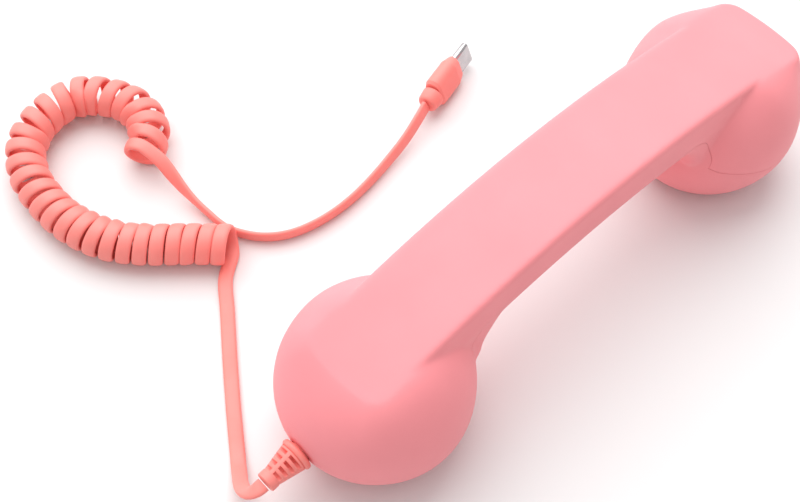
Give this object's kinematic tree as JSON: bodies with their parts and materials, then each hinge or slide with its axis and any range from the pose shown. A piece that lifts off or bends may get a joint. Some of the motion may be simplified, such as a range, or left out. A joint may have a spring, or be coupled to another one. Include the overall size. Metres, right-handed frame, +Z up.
{
  "type": "telephone handset with curly cord",
  "caption": "Retro telephone handset for a mobile phone: arched grip between two round cups, flat curly cord with a strain relief and a USB-C plug.",
  "frame": {"origin": "on the table, midway between the two cups, on the middle plane of the handset (measured without the cord, the strain relief and the plug)", "axes": "+X along the grip towards the ear end, +Y across the grip towards the side where the cord lies, +Z up, away from the rims of the cups"},
  "size_m": [0.23, 0.1939, 0.0583],
  "materials": {
    "soft_shell": "soft-touch matt pink",
    "key": "soft-touch matt pink",
    "cloth": "fine black acoustic cloth",
    "steel": "plain plated steel",
    "diaphragm": "thin dark film",
    "magnet": "nickel plated",
    "boot": "black moulded rubber",
    "weight": "raw steel blank",
    "board": "green solder mask",
    "chip": "black moulded case",
    "switch": "dark moulded case",
    "wire": "insulated wire",
    "cord": "matt salmon-pink elastomer",
    "plug_cover": "matt salmon-pink overmould",
    "plug_metal": "satin nickel",
    "contact_tongue": "dark plastic"
  },
  "bodies": {
    "handset": {"upper_shell": "soft_shell", "lower_shell": "soft_shell", "ear_cap": "soft_shell", "mouth_cap": "soft_shell", "ear_cloth": "cloth", "mouth_cloth": "cloth", "speaker_frame": "steel", "speaker_diaphragm": "diaphragm", "speaker_magnet": "magnet", "microphone_boot": "boot", "microphone_capsule": "steel", "ear_weight": "weight", "mouth_weight": "weight", "ear_weight_screw": "steel", "mouth_weight_screw": "steel", "ear_shell_screw_front": "steel", "ear_shell_screw_back": "steel", "mouth_shell_screw_front": "steel", "mouth_shell_screw_back": "steel", "button_board": "board", "audio_board": "board", "audio_chip": "chip", "button_board_screw_1": "steel", "button_board_screw_2": "steel", "audio_board_screw_1": "steel", "audio_board_screw_2": "steel", "call_button_switch": "switch", "volume_up_key_switch": "switch", "volume_down_key_switch": "switch", "speaker_wire": "wire", "microphone_wire": "wire", "link_wire": "wire", "cord_core_wire": "wire", "strain_relief": "cord", "cord_lead": "cord", "cord_coil": "cord", "cord_tail": "cord", "plug_collar": "plug_cover", "plug_overmould": "plug_cover", "plug_shell": "plug_metal", "plug_tongue": "contact_tongue"},
    "call_button": {"call_button": "key"},
    "volume_up_key": {"volume_up_key": "key"},
    "volume_down_key": {"volume_down_key": "key"}
  },
  "joints": [
    {"name": "call_button_press", "type": "slide", "parent": "handset", "child": "call_button", "axis": [0, 0, 1], "range_m": [0, 0.0007], "stiffness_N_per_m": 700},
    {"name": "volume_up_key_press", "type": "slide", "parent": "handset", "child": "volume_up_key", "axis": [0, 0, 1], "range_m": [0, 0.0006], "stiffness_N_per_m": 700},
    {"name": "volume_down_key_press", "type": "slide", "parent": "handset", "child": "volume_down_key", "axis": [0, 0, 1], "range_m": [0, 0.0006], "stiffness_N_per_m": 700}
  ]
}
